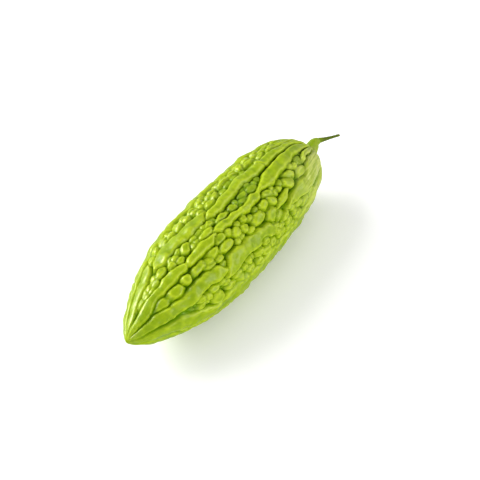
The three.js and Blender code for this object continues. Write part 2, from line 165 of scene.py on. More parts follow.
@dataclass(frozen=True)
class Valley:
    """A hidden valley whose warts are strewn by dice: its middle angle, room on either side, and seed.

    Lengths are in mm. A step is a share of the last wart's length.
    """

    middle: float
    room: float
    seed: int
    start: float = 28.0
    end: float = 160.0
    mean_radius: float = 27.0
    half_lengths: Range = (2.4, 5.2)
    width_shares: Range = (0.62, 0.95)
    most_turn: float = 12.0
    small_sizes: Range = (1.4, 2.2)
    small_places: Range = (0.3, 1.7)
    room_for_small: float = 0.9
    step_share: float = 0.93

    def warts(self) -> list[Wart]:
        """A winding row of large warts, with a small one in the room beside some.

        Returns:
            The warts, from the blossom tip towards the stalk.
        """
        dice = Dice(self.seed)
        made = []
        x = self.start
        while x < self.end:
            half_length = dice.roll(*self.half_lengths)
            half_width = self.room * dice.roll(*self.width_shares)
            side = 1 if dice.roll(0, 1) > 0.5 else -1
            spare = self.room - half_width
            shift = math.degrees(side * spare * dice.roll(0.4, 1) / self.mean_radius)
            turn = dice.roll(-self.most_turn, self.most_turn)
            made.append(Wart(x + half_length, self.middle + shift, half_length, half_width, turn))
            if spare > self.room_for_small:
                small = dice.roll(*self.small_sizes)
                place = x + half_length * dice.roll(*self.small_places)
                shift = math.degrees(side * (self.room - small * 0.7) / self.mean_radius)
                made.append(Wart(place, self.middle - shift, small, small * 0.8))
            x += 2 * half_length * self.step_share
        return made


# The ridges in order round the fruit, as crests of (x, angle, half width in degrees). The ridges that
# are broken into lobes have a crest for each lobe.
CRESTS: tuple[Knots, ...] = (
    # on the far side
    (
        (0, 358, 18), (10, 358, 18), (24, 359, 15), (40, 361, 10.5), (56, 358, 9), (72, 361, 10.5),
        (90, 358.5, 8.5), (108, 361, 10), (126, 358, 9.5), (144, 360, 11), (160, 360, 14), (180, 358, 18),
        (198, 358, 18),
    ),
    (
        (0, 33, 16), (10, 33, 16), (22, 33, 13), (34, 34, 10), (50, 35, 8.5), (66, 37, 9.5), (80, 35.5, 8),
        (92, 38, 9), (108, 37, 8.5), (122, 36, 9.5), (137, 39, 8.5), (150, 40, 10), (163, 43, 12),
        (180, 46, 16), (198, 46, 18),
    ),
    # the first ridge to the left of the top, in five lobes
    (
        (0, 66, 17), (8, 66, 17), (14, 63, 15), (20, 60, 12.5), (28, 59.5, 12), (34, 57.5, 10),
        (38, 55.5, 6), (40.5, 54, 1.5),
    ),
    (
        (39.5, 69, 3), (42, 69, 10.5), (45, 69.5, 12), (50, 67.5, 12), (56, 70, 11.2), (60, 72.5, 10.5),
        (66, 76.5, 9.5), (73, 77.7, 8.7), (79, 78, 8), (83, 77.5, 6.5), (86, 76, 2),
    ),
    (
        (83.5, 86, 2), (86, 85, 6), (90, 85.5, 6.3), (100, 84.2, 7), (110, 82.3, 7), (116, 80.2, 7.5),
        (121, 80.2, 8.5), (126, 81.5, 9), (130, 82.8, 9), (134, 84.5, 7), (137, 86, 4.5), (139, 87.5, 1),
    ),
    (
        (136.5, 79, 2), (138.5, 81, 4), (141, 84.3, 7.2), (146, 84, 7.8), (151, 83, 8), (156, 84.5, 6.8),
        (163, 86, 6.2), (170, 86.5, 5.7), (176, 88, 5.5), (182, 89, 7), (188, 88, 12), (198, 88, 16),
    ),
    (
        (153, 73.5, 2), (155.5, 74, 4.2), (161, 73.5, 5), (168, 75, 5.3), (176, 76, 5.8), (186, 72, 12),
        (198, 70, 16),
    ),
    # the ridge along the top, in three lobes
    (
        (0, 98, 16), (6, 98.5, 15.5), (10, 100, 15), (15, 101, 17), (20, 98, 13), (25, 98, 10.5),
        (30, 100, 9.3), (36, 100.5, 9.8), (42, 102, 9.3), (47, 104.5, 6), (50, 105.5, 2),
    ),
    ((50.5, 107, 3), (52.5, 107, 5.7), (60, 107, 8), (68, 107.5, 7), (73, 108, 4.3), (75.5, 108, 1.5)),
    (
        (76, 104, 2), (79, 105.5, 5.2), (84, 105.8, 5.6), (88, 107, 5.5), (92, 108.2, 5), (96, 108.3, 4.5),
        (100, 110.7, 5.4), (104, 111.5, 5.8), (108, 110.6, 5.6), (113, 110.3, 5.6), (117, 109.3, 4.6),
        (120, 107.5, 3.9), (123, 106.7, 4.4), (125.5, 106.8, 5.8), (128, 107.3, 8.7), (131, 106.5, 10.3),
        (135, 105, 10.5), (140, 103.5, 10.8), (146, 102.6, 10.4), (152, 102.3, 10.2), (158, 101, 9.5),
        (164, 100.6, 8.6), (170, 101, 7.6), (176, 102.5, 6), (182, 105, 7), (190, 106, 12), (198, 106, 14),
    ),
    # lobes of the valley between the top and the near side
    (
        (121.5, 141, 3), (123.5, 140, 4.6), (127, 137.8, 4.8), (131, 136.8, 4.4), (134.5, 135.2, 2.8),
        (137, 134.2, 1.2),
    ),
    (
        (161.5, 121, 2), (164, 120.5, 4.5), (168, 118.5, 5.5), (173, 117, 5.5), (178, 115.5, 4),
        (184, 118, 6), (198, 120, 9),
    ),
    # the ridge of the near side, in three lobes
    (
        (0, 138, 18.5), (6, 138, 18.5), (10, 138.2, 18), (20, 140, 15.5), (30, 143.5, 12.8),
        (38, 144.5, 11.8), (45, 141.5, 10.3), (52, 140.5, 10.5), (58, 142, 10.5), (63, 142.5, 8),
        (66.5, 146, 2.5),
    ),
    (
        (63.5, 155, 1.5), (67, 152, 5.5), (71, 149, 11), (76, 146, 12), (80, 145.5, 11.5), (84, 145.5, 9.5),
        (88, 145.3, 10.2), (92, 146.5, 10.2), (96, 147.8, 9.8), (99, 146.5, 8.8), (102, 147, 10),
        (105, 149.5, 11.5), (108, 152.5, 12), (110.5, 153, 9.5), (113, 152, 3.5),
    ),
    (
        (127, 151, 1.5), (129.5, 150.5, 4), (132.5, 148.8, 5.5), (136, 148.3, 6.5), (140, 147.5, 8.5),
        (145, 148.8, 10), (150, 149, 13), (155, 151, 13), (160, 148, 16), (165, 145, 18),
        (172, 143.5, 19.5), (180, 141, 20), (190, 141, 24), (198, 142, 24),
    ),
    # the low ridge of the near side, and those underneath and behind
    (
        (0, 176, 19), (10, 176, 19), (20, 178, 17), (30, 180, 16), (42, 187, 13), (54, 193, 13),
        (64, 190, 17), (76, 189, 19), (85, 191, 16), (94, 193, 13.5), (106, 190, 17), (116, 191.5, 14),
        (130, 189.5, 14), (145, 189, 13), (158, 188, 14), (170, 188, 16), (182, 186, 19), (198, 186, 20),
    ),
    (
        (0, 213, 18), (10, 213, 18), (26, 217, 13.5), (45, 223, 9.5), (62, 221.5, 10.5), (75, 223.5, 8.5),
        (90, 221, 10), (108, 223, 9), (126, 220.5, 10.5), (145, 222.5, 10), (160, 221, 13), (180, 222, 16),
        (198, 222, 16),
    ),
    (
        (0, 249.5, 18), (10, 249.5, 18), (26, 251.5, 13.5), (42, 252.5, 10), (60, 255, 11), (78, 253, 9.5),
        (95, 255.5, 10.5), (112, 253, 9.5), (130, 255.5, 10.5), (148, 254, 11), (162, 253, 14),
        (180, 254, 16), (198, 254, 16),
    ),
    (
        (0, 286, 18), (10, 286, 18), (26, 287.5, 13.5), (42, 290, 10), (58, 287.5, 9.5), (76, 290, 10.5),
        (94, 288, 9.5), (113, 290.5, 11), (132, 288, 10), (150, 289, 12), (164, 288, 15), (180, 288, 18),
        (198, 288, 18),
    ),
    (
        (0, 322, 18), (10, 322, 18), (26, 324, 13.5), (44, 327, 10), (60, 324.5, 9), (80, 327, 10.5),
        (98, 325, 8.5), (116, 328, 10.5), (134, 325, 9.5), (152, 326, 12), (165, 324, 15), (180, 322, 17),
        (198, 322, 17),
    ),
)

# Warts of the upper valleys, one by one: x, angle, half length, half width, turn, lift
PLACED_WARTS: tuple[tuple[float, ...], ...] = (
    # between the top ridge and the near ridge
    (25, 118, 3.8, 2.4, 8, 0.8), (34.5, 121.5, 5, 3.3, 20, 0.85), (43.5, 119.5, 2.8, 2.7, 30),
    (54, 120.5, 4.8, 2.6), (61, 123.5, 2.5, 2.5), (59.5, 129, 3, 1.5), (65, 120, 4.5, 2.4),
    (67, 130.5, 2.2, 2.2), (75, 126, 4.8, 2.7), (76, 114.5, 3.2, 1.8), (82.5, 117, 2.6, 2.4),
    (86.5, 123.5, 3.8, 3.3), (93, 126.5, 2.8, 2.6), (91, 118, 2, 1.7), (83.5, 132, 1.6, 1.6),
    (87.5, 132, 1.5, 1.3), (97, 118, 1.8, 1.5), (101, 123, 1.8, 1.6), (95.5, 134, 2.8, 2.2),
    (105.4, 131, 6.2, 4.1), (108, 121.5, 2, 1.6, 0, 0.7), (114.3, 125, 3.5, 3.2),
    (115.5, 140.5, 5.5, 4.4, -40), (121, 129, 3.9, 3.6), (123, 119.5, 3.3, 2, 39),
    (127.5, 118.5, 1.8, 1.5), (128.5, 124.5, 2, 1.8), (132, 124, 2, 1.8), (135, 119.5, 2, 1.7, 0, 0.7),
    (120.5, 149, 4, 3, 0, 0.8), (123.5, 155.5, 3.4, 3), (141, 127.5, 4, 3.5, 39),
    (145, 121.5, 4.1, 2.8, 39), (151.5, 114.5, 2.2, 2.2), (154, 119, 2.5, 2.3),
    (155.3, 131.5, 4.5, 3.2), (160.5, 116.5, 3, 2.2, 0, 0.6),
    # between the left ridge and the top ridge
    (19, 77, 2.5, 1.6), (23, 80.5, 2, 1.6), (24.5, 75.5, 2.4, 1.5), (28.5, 78, 2.2, 1.8),
    (31, 83, 2, 1.5), (33.5, 76.5, 2.6, 1.8), (28, 84.5, 1.6, 1), (37.5, 81, 3.5, 2),
    (45, 91, 2.2, 2.3), (49, 87.5, 2.4, 1.6), (47, 84.2, 1.7, 1.3, 0, 0.9), (50, 96, 1.8, 1.6),
    (53.5, 85.5, 1.4, 0.8), (58.5, 91, 3.3, 2.2), (61.5, 96.5, 1.8, 1.5, 0, 0.8),
    (65.5, 96, 1.6, 1.1, 0, 0.9), (66, 90, 2, 1), (70.5, 90, 2, 1.1), (72.5, 98.5, 4.5, 2),
    (75.5, 89.5, 1.8, 1.2), (79.3, 92.5, 3.6, 1.6), (83.5, 91.5, 1.6, 1.3, 0, 0.7),
    (88.5, 98, 4.2, 1.7), (94, 95.5, 1.2, 0.8, 0, 0.5), (99, 98.7, 3.2, 2.7, 0, 0.7),
    (102.5, 96.5, 2, 1.8, 0, 0.6), (107, 102, 3, 1.5, 0, 0.7), (104, 105, 1, 0.8, 0, 0.6),
    (111.5, 96.5, 3.6, 2.6, 0, 0.6), (113.7, 91, 2, 1.3, 0, 0.6), (116.5, 93.5, 1.2, 1, 0, 0.6),
    (119.5, 92, 1.6, 1.3, 0, 0.8), (118.5, 98.3, 3.8, 3, 0, 0.6), (122.8, 96.3, 2.2, 1.6, 0, 0.65),
    (127, 95, 1.8, 1.4, 0, 0.65),
    # below the near ridge
    (44, 158.5, 2, 1.3), (48.8, 160.5, 2.4, 2.2), (54, 157.5, 2.4, 1.8), (54.5, 172, 3.8, 3.8),
    (43, 167, 2.2, 1.6), (46.5, 167, 1.3, 1), (60, 157, 1.5, 1.1), (63, 162.5, 1.7, 1.4),
    (66, 171, 4, 2.6), (66.5, 140, 2, 1.6, 0, 0.8), (72.5, 163.5, 2.4, 1.6), (74, 173, 3.4, 2.2),
    (78.5, 165, 2.6, 2.2), (82.5, 172.5, 3.4, 2.2), (83.5, 161, 2.6, 2.2), (87, 161, 1.5, 1.6),
    (93.5, 163.5, 3, 2.2), (92, 175, 2.8, 2), (100, 170, 4, 2.6), (102, 158.5, 3.2, 2.4),
    (107.5, 171, 3, 2), (113.5, 163, 2.2, 2.2), (115.5, 157, 1.5, 1.5), (109, 177, 4, 1.8),
    (116.5, 170.5, 3.4, 2.2), (119, 163, 1.8, 1.6), (126, 167, 3.4, 2.4), (126, 175, 4, 1.8),
    (133, 155.5, 2.6, 1.8), (134, 163.5, 2.6, 2), (139.5, 160.5, 3, 1.6), (136, 172.5, 3.6, 2.2),
    (147, 167.5, 4, 2.4, 0, 0.8), (156, 171, 4, 2, 0, 0.8),
    # left of the left ridge
    (45, 51, 2.6, 2.4), (51, 48.5, 3, 2.6), (57.5, 50.5, 3.2, 2.4), (57, 56, 2, 1.6),
    (63.5, 58, 3, 2.4), (64, 50, 3, 2.2), (70, 60, 3.4, 2.6), (71, 52.5, 3, 2), (77, 62, 3.4, 2.6),
    (78, 54.5, 3.4, 2.2), (84.5, 64, 3.2, 2.2), (85, 57, 3.2, 2.2), (89, 65, 2.2, 1.8),
    (84.5, 72, 2.2, 1.6), (94.3, 72.5, 3.6, 2.9), (94.5, 64.5, 2.2, 1.8), (92, 57, 3.6, 2.4),
    (99.5, 61.5, 2.4, 1.8), (102, 68, 4, 2), (98, 51.5, 3, 1.8), (104.5, 57, 3.4, 2),
    (107.5, 71, 2.6, 2.2, 0, 0.7), (112, 54.5, 3.4, 2), (115, 61.8, 5, 2.4, 0, 1.1),
    (122.5, 61.5, 3.6, 2.2), (114.5, 68.5, 3, 1.6, 0, 0.7), (121, 67.5, 3.4, 1.6, 0, 0.7),
    (119, 53, 3, 2), (125.5, 56, 3.6, 1.8), (131, 62, 3.2, 2.7), (127.5, 70, 2, 1.5, 0, 0.7),
    (132, 53.5, 3, 2), (137.5, 67, 4.2, 2.2), (135.5, 73, 1.6, 1.2, 0, 0.6),
    (141, 73, 2.4, 1.8, 0, 0.8), (140, 56.5, 3.4, 2.2), (145, 62.5, 3.4, 2), (147, 70.5, 3, 2.2),
    (149, 56, 3, 2), (152.5, 63.5, 3.2, 2), (160, 66, 3.6, 1.9), (158, 58, 3.4, 2),
    (166.5, 68, 3.4, 1.8), (167, 60.5, 3.4, 2), (174, 65, 3.4, 2),
)

# Hollows in the valley floors: x, angle, half length in mm, half width in degrees, depth in mm
HOLLOWS: tuple[tuple[float, ...], ...] = (
    (104, 96, 22, 8, 1.7), (126, 95, 6, 6, 1.4), (60, 95, 18, 8, 0.3), (138, 137, 8, 5, 1.2),
    (110, 136, 12, 5, 0.6), (90, 131, 10, 6, 0.6), (60, 133, 12, 5, 0.5), (136, 118, 12, 5, 0.7),
    (160, 115, 8, 4, 0.6), (110, 70, 14, 5, 0.6), (136, 72, 6, 4, 0.6),
)

STREWN_VALLEYS = (
    Valley(17, 3.2, 5),
    Valley(207, 2.6, 11),
    Valley(238, 3.2, 23),
    Valley(271.5, 3.4, 31),
    Valley(306.5, 3.3, 47),
    Valley(342, 3.3, 61),
)


@dataclass(frozen=True)
class Body:
    """The fruit without its relief: how thick it is along its length, and how its middle line bends.

    The outline has rows of (x, radius) and the middle line rows of (x, y, z), all in mm.
    """

    girth_radius: float = 30.2
    neck_end: float = 198.6
    neck_lean: Range = (185.0, 196.0)
    depth_powers: Range = (0.62, 0.82)
    power_change: Range = (40.0, 140.0)
    outline: Knots = (
        (0, 0), (2, 3.4), (6, 7.2), (13, 11.7), (25, 17.5), (40, 23.4), (58, 27.8), (78, 30), (98, 30.2),
        (118, 29.6), (138, 28.4), (154, 26.4), (167, 23), (176, 18.8), (181, 14.8), (184.5, 10),
        (186.8, 6.5), (189, 5), (193, 4.1), (196.5, 3), (198.6, 2.2),
    )
    middle_line: Knots = (
        (0, -1.8, -0.2), (10, -1.4, -0.7), (30, -0.7, -1.3), (60, 0, -1.7), (98, 0.4, -2.1),
        (130, 0.6, -1.8), (160, 0.5, -1), (170, 0.4, -0.6), (178, -0.4, -0.5), (184, -1.5, -0.4),
        (188, -1.8, 0.6), (192, -1.3, 1.8), (195.6, -1, 2.8), (198.6, -2.2, 3.1), (202.8, -4.7, 2.8),
        (207.9, -7.2, 2.1), (212.4, -9.4, 1.5),
    )

    def radius(self, x: Array) -> Array:
        """Radius over the ridge tops. The outline is read over the root of x, which rounds the tip."""
        by_root = tuple((math.sqrt(place), radius) for place, radius in self.outline)
        return follow(by_root, np.sqrt(np.maximum(x, 0)))[..., 0]

    def relief_depth(self, x: Array, radius: Array) -> Array:
        """How deep the relief is, from 0 to 1.

        It is a power of the fruit's thickness against its girth. The power grows from the tip half to the
        neck half, so that the relief fades most towards the neck.

        Args:
            x: places along the fruit, in mm.
            radius: of the outline there, in mm.

        Returns:
            The depth at each place.
        """
        low, high = self.depth_powers
        power = low + (high - low) * smooth_step(x, *self.power_change)
        return np.minimum(1, radius / self.girth_radius) ** power

    def middle(self, x: Array) -> Array:
        """Points of the middle line."""
        return np.concatenate([x[..., None], follow(self.middle_line, x)], axis=-1)

    def on_section(self, x: Array, angle: Array, radius: Array) -> Array:
        """Points round the middle line.

        Sections are upright along the body and turn square to the middle line in the neck. On each, a
        point is the middle plus radius times (cosine of the angle times the side direction, plus sine of
        the angle times the up direction).

        Args:
            x: places along the fruit, in mm.
            angle: degrees about the middle line.
            radius: distance from the middle line, in mm.

        Returns:
            Points in mm, with x, y and z on the last axis.
        """
        heading = self.middle(x + 0.5) - self.middle(x - 0.5)
        heading /= np.linalg.norm(heading, axis=-1, keepdims=True)
        lean = smooth_step(x, *self.neck_lean)[..., None]
        normal = np.array([1.0, 0, 0]) * (1 - lean) + heading * lean
        normal /= np.linalg.norm(normal, axis=-1, keepdims=True)
        side = np.array([0, 1.0, 0]) - normal * normal[..., 1:2]
        side /= np.linalg.norm(side, axis=-1, keepdims=True)
        up = np.cross(normal, side)
        turn = np.radians(angle)[..., None]
        return self.middle(x) + radius[..., None] * (side * np.cos(turn) + up * np.sin(turn))


@dataclass
class Press:
    """Where one lump stands at each point: its clearance, top height and half width, in mm.

    The clearance says how far a point is outside the lump's outline, and is below 0 inside. The foot is
    how far the lump reaches past its outline. Its rounded side takes a share of its half width, within
    limits in mm, and the shoulder is the share of its height at which its dome starts.
    """

    clearance: Array
    top: Array
    size: Array
    foot: ClassVar[float] = 0.55
    side_share: ClassVar[float] = 0.7
    side_limits: ClassVar[Range] = (0.9, 3.0)
    shoulder: ClassVar[float] = 0.63

    @classmethod
    def nobody(cls, shape: tuple[int, ...], far: float) -> "Press":
        """No lump anywhere near."""
        return cls(np.full(shape, far), np.zeros(shape), np.ones(shape))

    def take(self, where: Union[Array, slice], wins: Array, other: "Press") -> None:
        """Gives the place to another lump.

        Args:
            where: the points that the other lump may reach.
            wins: at which of those it takes the place.
            other: that lump, at those points.
        """
        for label in ("clearance", "top", "size"):
            mine = getattr(self, label)
            mine[where] = np.where(wins, getattr(other, label), mine[where])

    def level(self, floor: Array) -> Array:
        """Height of the lump: a gently domed top, and a side that falls to the foot like a quarter circle.

        Args:
            floor: height of the ground that the lump stands on, in mm.

        Returns:
            Heights in mm.
        """
        inside = self.foot - self.clearance
        side = np.clip(inside / np.clip(self.side_share * self.size, *self.side_limits), 0, 1)
        crown = np.clip(inside / (self.size + self.foot), 0, 1)
        dome = self.shoulder + (1 - self.shoulder) * quarter_circle(crown)
        return floor + (self.top * dome - floor) * quarter_circle(side)


@dataclass
class Crowd:
    """Lumps that press against each other: at each point, the two whose outlines are nearest.

    The crevice between two lumps is a notch whose depth is a least depth plus a share of the smaller one's
    half width. Its sides take a share of that half width too, within limits in mm.
    """

    nearest: Press
    next: Press
    least_notch: ClassVar[float] = 0.25
    notch_share: ClassVar[float] = 0.4
    side_share: ClassVar[float] = 0.55
    side_limits: ClassVar[Range] = (0.75, 2.0)
    softness: ClassVar[float] = 0.2

    @classmethod
    def nobody(cls, shape: tuple[int, ...]) -> "Crowd":
        """A crowd without any lump yet."""
        return cls(Press.nobody(shape, 50.0), Press.nobody(shape, 60.0))

    def enter(self, where: Union[Array, slice], lump: Press) -> None:
        """Lets one more lump press in.

        Args:
            where: the points that it may reach.
            lump: the lump, at those points.
        """
        now = self.nearest
        leader = Press(now.clearance[where].copy(), now.top[where].copy(), now.size[where].copy())
        leads = lump.clearance < leader.clearance
        follows = ~leads & (lump.clearance < self.next.clearance[where])
        self.next.take(where, leads, leader)
        self.next.take(where, follows, lump)
        self.nearest.take(where, leads, lump)

    def height(self, floor: Array) -> Array:
        """Height of the crowd's skin.

        A crevice runs along the line of equal clearances of two lumps. It lies below the lower of the two,
        the deeper the larger they are, and each lump's side rises from it like a quarter circle.

        Args:
            floor: height of the gaps between lumps that do not touch.

        Returns:
            Heights in mm.
        """
        level = self.nearest.level(floor)
        smaller = np.minimum(self.nearest.size, self.next.size)
        notch = np.minimum(level, self.next.level(floor)) - (self.least_notch + self.notch_share * smaller)
        notch = np.minimum(level, np.maximum(0, notch))
        apart = (self.next.clearance - self.nearest.clearance) / 2
        apart = np.sqrt(apart**2 + self.softness**2) - self.softness
        share = np.minimum(1, apart / np.clip(self.side_share * smaller, *self.side_limits))
        return notch + (level - notch) * quarter_circle(share)


@dataclass(frozen=True)
class Relief:
    """Ridges and warts: the height of the skin above the valley floors, with all measures in mm.

    A wart's height is its base plus its steepness times its half width, up to the tallest. A pebble is
    drawn in by its margin, and further where another lump is nearer than the pebble's room.
    """

    body: Body
    ridge_height: float = 4.1
    crest_sizes: Range = (0.8, 5.0)
    gap_height: float = 1.2
    wart_base: float = 2.2
    wart_steepness: float = 0.65
    tallest_wart: float = 3.936
    wart_spread: float = 0.8
    wart_reach: float = 6.0
    pebble_spacing: float = 4.8
    pebble_radius: float = 2.8
    pebble_height: float = 3.0
    pebble_margin: float = 1.9
    pebble_room: float = 0.9
    pebble_retreat: float = 0.8
    calm_end: float = 30.0
    bend_along: Knots = ((0.7, 14, 1), (0.18, 6, 7))
    bend_round: Knots = ((0.7, 14, 4), (0.18, 6, 9))
    crests: tuple[Knots, ...] = CRESTS
    hollows: tuple[tuple[float, ...], ...] = HOLLOWS
    warts: tuple[Wart, ...] = tuple(Wart(*row) for row in PLACED_WARTS) + tuple(
        wart for valley in STREWN_VALLEYS for wart in valley.warts()
    )

    def add_crest(self, crowd: Crowd, crest: Knots, x: Array, angle: Array, arc: Array) -> None:
        """Adds one crest: a bar along its middle, with the half width of its knots.

        Args:
            crowd: the lumps so far.
            crest: knots of (x, angle, half width in degrees).
            x: places along the fruit, in mm.
            angle: degrees about the middle line.
            arc: mm on the skin for one degree.
        """
        middle, half_width = np.moveaxis(follow(crest, x), -1, 0)
        beyond = np.maximum(0, np.maximum(crest[0][0] - x, x - crest[-1][0]))
        half = half_width * arc
        clearance = np.hypot(turn_between(middle, angle) * arc, beyond) - half
        top = np.full(x.shape, self.ridge_height)
        crowd.enter(slice(None), Press(clearance, top, np.clip(half, *self.crest_sizes)))

    def add_wart(self, crowd: Crowd, wart: Wart, x: Array, angle: Array) -> None:
        """Adds one wart: an ellipse on the skin.

        Args:
            crowd: the lumps so far.
            wart: the wart.
            x: places along the fruit, in mm.
            angle: degrees about the middle line.
        """
        arc = math.radians(1) * float(self.body.radius(np.array(wart.x)))
        reach = wart.half_length + wart.half_width + self.wart_reach
        near = (np.abs(x - wart.x) < reach) & (np.abs(turn_between(wart.angle, angle)) * arc < reach)
        along = x[near] - wart.x
        across = turn_between(wart.angle, angle[near]) * arc
        cos, sin = math.cos(math.radians(wart.turn)), math.sin(math.radians(wart.turn))
        lengthwise = (along * cos + across * sin) / wart.half_length
        crosswise = (across * cos - along * sin) / wart.half_width
        size = min(wart.half_length, wart.half_width)
        clearance = (np.hypot(lengthwise, crosswise) - 1) * size - self.wart_spread
        top = min(self.tallest_wart, self.wart_base + self.wart_steepness * size) * wart.lift
        crowd.enter(near, Press(clearance, np.full(clearance.shape, top), np.full(clearance.shape, size)))

    def add_pebbles(self, crowd: Crowd, points: Array) -> None:
        """Adds small pebbles that fill what the others leave free.

        Space is cut into cubes with a point thrown somewhere in each by the fraction of a large sine. A
        pebble sits round each of those points, and gives way to the lumps that were there before it.

        Args:
            crowd: the lumps so far.
            points: places in mm, with x, y and z on the last axis.
        """
        mix = np.array([[12.99, 39.35, 26.65], [78.23, 11.14, 45.17], [37.72, 83.16, 94.67]])
        scatter = 437.58
        edge = 0.15
        scaled = points / self.pebble_spacing
        cell = np.floor(scaled)
        tightness = np.clip(self.pebble_room - crowd.nearest.clearance, 0, 2)
        give_way = self.pebble_margin + self.pebble_retreat * tightness
        tops = np.full(give_way.shape, self.pebble_height)
        sizes = np.full(give_way.shape, self.pebble_radius)
        for step in np.ndindex(3, 3, 3):
            corner = cell + np.array(step) - 1
            thrown = corner + edge + (1 - 2 * edge) * np.modf(np.abs(np.sin(corner @ mix)) * scatter)[0]
            away = np.linalg.norm(scaled - thrown, axis=-1) * self.pebble_spacing
            crowd.enter(slice(None), Press(away - self.pebble_radius + give_way, tops, sizes))

    def floor(self, x: Array, angle: Array) -> Array:
        """Height of the gaps between lumps: even, but for the hollows, which are bell shaped.

        Args:
            x: places along the fruit, in mm.
            angle: degrees about the middle line.

        Returns:
            Heights in mm.
        """
        level = np.full(x.shape, self.gap_height)
        for place, middle, half_length, half_width, depth in self.hollows:
            away = ((x - place) / half_length) ** 2 + (turn_between(middle, angle) / half_width) ** 2
            level -= depth * np.exp(-away)
        return level

    def height(self, x: Array, angle: Array) -> Array:
        """Height of the skin above the valley floor.

        Waves bend the grid of x and angle first, so no edge is straight. They are weak at both ends.

        Args:
            x: places along the fruit, in mm.
            angle: degrees about the middle line.

        Returns:
            Heights in mm.
        """
        least_radius = 0.4
        radius = np.maximum(self.body.radius(x), least_radius)
        turn = np.radians(angle)
        points = np.stack([x, radius * np.cos(turn), radius * np.sin(turn)], axis=-1)
        sway = np.clip(x / self.calm_end, 0.25, 1)
        sway = sway * np.clip((self.body.neck_end - x) / self.calm_end, 0.2, 1)
        bent_x = x + sway * unevenness(points, self.bend_along)
        bent_angle = angle + np.degrees(sway * unevenness(points, self.bend_round) / radius)
        crowd = Crowd.nobody(x.shape)
        for crest in self.crests:
            self.add_crest(crowd, crest, bent_x, bent_angle, np.radians(radius))
        for wart in self.warts:
            self.add_wart(crowd, wart, bent_x, bent_angle)
        self.add_pebbles(crowd, points)
        return self.body.relief_depth(x, radius) * crowd.height(self.floor(x, angle))


# ------------------------------------------------------------------ meshes
def blurred(values: Array, rounds: int) -> Array:
    """Smooths a grid whose second axis closes on itself.

    Args:
        values: the grid, of shape (rings, columns).
        rounds: how often every point is averaged with its neighbours.

    Returns:
        The smoothed grid.
    """
    for _ in range(rounds):
        padded = np.pad(values, ((1, 1), (0, 0)), mode="edge")
        values = (padded[:-2] + 2 * values + padded[2:]) / 4
        values = (np.roll(values, 1, axis=1) + 2 * values + np.roll(values, -1, axis=1)) / 4
    return values


def drawn_in(rim: Array, middle: Array, shares: tuple[float, ...]) -> Array:
    """Rings that draw in from a rim towards its middle, each at its share of the way out."""
    return np.stack([middle + (rim - middle) * share for share in shares])


def closed_mesh(
    name: str, rings: Array, start: Array, end: Array, attributes: dict[str, Array]
) -> bpy.types.Object:
    """Makes a closed piece from rings of points, with a pole at each end.

    Args:
        name: of the piece.
        rings: points in metres, of shape (rings, columns, 3), turning about the way from start to end.
        start: the pole before the first ring.
        end: the pole after the last ring.
        attributes: by name, a number for each ring point, of shape (rings, columns), or a vector for
            each, of shape (rings, columns, 3).

    Returns:
        The piece, smooth shaded, with its faces outwards.
    """
    count, columns = rings.shape[:2]
    points = np.vstack([rings.reshape(-1, 3), start, end])
    ring, column = np.meshgrid(np.arange(count - 1), np.arange(columns), indexing="ij")
    here = ring * columns + column
    beside = ring * columns + (column + 1) % columns
    quads = np.stack([here, beside, beside + columns, here + columns], axis=-1).reshape(-1, 4)
    first = np.arange(columns)
    second = (first + 1) % columns
    last = (count - 1) * columns
    tip = count * columns
    caps = np.vstack(
        [
            np.stack([second, first, np.full(columns, tip)], axis=-1),
            np.stack([last + first, last + second, np.full(columns, tip + 1)], axis=-1),
        ]
    )
    mesh = bpy.data.meshes.new(name)
    mesh.from_pydata(points.tolist(), [], quads.tolist() + caps.tolist())
    for label, values in attributes.items():
        vector = values.ndim == 3
        layer = mesh.attributes.new(label, "FLOAT_VECTOR" if vector else "FLOAT", "POINT")
        poles = np.concatenate([values[0].mean(axis=0).ravel(), values[-1].mean(axis=0).ravel()])
        flat = np.concatenate([values.ravel(), poles]).astype(np.float32)
        layer.data.foreach_set("vector" if vector else "value", flat)
    mesh.shade_smooth()
    mesh.update()
    piece = bpy.data.objects.new(name, mesh)
    bpy.context.scene.collection.objects.link(piece)
    return piece


# ------------------------------------------------------------------ shader maths
Feed = Union[float, tuple, "Value", bpy.types.NodeSocket]


class Value:
    """A socket that holds one number, so that maths on it reads as Python and adds its Math nodes."""

    def __init__(self, shader: "Shader", socket: bpy.types.NodeSocket) -> None:
        """Wraps a socket of a shader."""
        self.shader = shader
        self.socket = socket

    def __add__(self, other: Feed) -> "Value":
        """Sum."""
        return self.shader.maths("ADD", self, other)

    def __sub__(self, other: Feed) -> "Value":
        """Difference."""
        return self.shader.maths("SUBTRACT", self, other)

    def __rsub__(self, other: Feed) -> "Value":
        """Difference, the other way round."""
        return self.shader.maths("SUBTRACT", other, self)

    def __mul__(self, other: Feed) -> "Value":
        """Product."""
        return self.shader.maths("MULTIPLY", self, other)

    __radd__ = __add__
    __rmul__ = __mul__


Owner = Union[bpy.types.Material, bpy.types.World]


